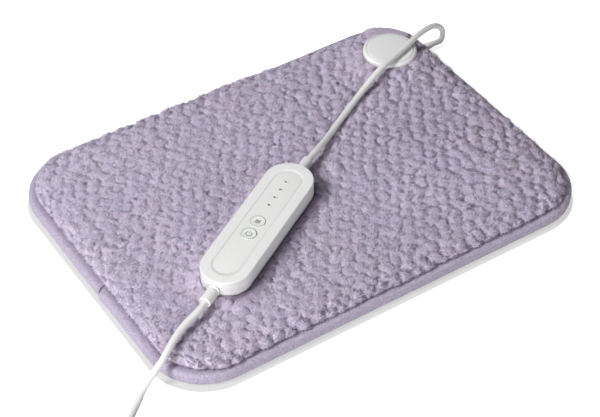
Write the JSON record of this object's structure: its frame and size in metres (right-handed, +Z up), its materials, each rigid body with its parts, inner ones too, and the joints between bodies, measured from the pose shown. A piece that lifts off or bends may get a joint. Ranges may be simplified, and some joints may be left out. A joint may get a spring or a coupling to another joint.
{
  "type": "heating pad with controller",
  "caption": "Plush heating pad with an in-line controller that has power and heat buttons, joined by a cord to a round socket, with a coiled mains lead.",
  "frame": {"origin": "centre of the pad's underside, on the surface that it lies on", "axes": "+X along the pad's longer side towards the socket's edge, +Y along its shorter side towards the socket's corner, +Z up out of the plush"},
  "size_m": [0.524, 0.4108, 0.0367],
  "materials": {
    "plush": "deep soft pile",
    "binding": "fine towelling",
    "backing": "short nap",
    "wadding": "matte fibre",
    "felt": "matte felt",
    "wire_sheath": "satin",
    "casing": "satin",
    "panel": "satin film",
    "button": "satin",
    "cord_jacket": "satin",
    "lens": "tinted",
    "board": "lacquered",
    "dark_component": "moulded",
    "tie": "satin",
    "fastener": "plated",
    "contact": "polished"
  },
  "bodies": {
    "pad_and_controller": {"back_cloth": "backing", "lower_wadding": "wadding", "element_carrier": "felt", "heating_wire": "wire_sheath", "thermal_cutout": "dark_component", "heat_sensor": "dark_component", "upper_wadding": "wadding", "plush_cover": "plush", "edge_binding": "binding", "socket_base": "casing", "socket_cap": "casing", "socket_board": "board", "contact_pin_1": "contact", "contact_pin_2": "contact", "socket_screw_1": "fastener", "socket_screw_2": "fastener", "socket_screw_3": "fastener", "lead_plug": "cord_jacket", "case_base": "casing", "case_top": "casing", "control_panel": "panel", "circuit_board": "board", "power_switch": "dark_component", "heat_switch": "dark_component", "indicator_lens_1": "lens", "indicator_lens_2": "lens", "indicator_lens_3": "lens", "indicator_lens_4": "lens", "led_1": "dark_component", "led_2": "dark_component", "led_3": "dark_component", "led_4": "dark_component", "relay": "dark_component", "suppressor_capacitor": "dark_component", "triac": "dark_component", "fuse": "lens", "case_screw_1": "fastener", "case_screw_2": "fastener", "case_screw_3": "fastener", "case_screw_4": "fastener", "pad_lead_relief": "cord_jacket", "mains_lead_relief": "cord_jacket", "pad_lead_end": "cord_jacket", "mains_lead_end": "cord_jacket", "pad_lead": "cord_jacket", "mains_lead": "cord_jacket", "mains_coil": "cord_jacket", "mains_tail": "cord_jacket", "cord_tie": "tie", "mains_plug": "cord_jacket", "plug_pin_1": "fastener", "plug_pin_2": "fastener"},
    "power_key": {"power_button": "button"},
    "heat_key": {"heat_button": "button"}
  },
  "joints": [
    {"name": "power_press", "type": "slide", "parent": "pad_and_controller", "child": "power_key", "axis": [0, 0, -1], "range_m": [0, 0.0005], "stiffness_N_per_m": 1500, "springref_m": -0.0004},
    {"name": "heat_press", "type": "slide", "parent": "pad_and_controller", "child": "heat_key", "axis": [0, 0, -1], "range_m": [0, 0.0005], "stiffness_N_per_m": 1500, "springref_m": -0.0004}
  ]
}
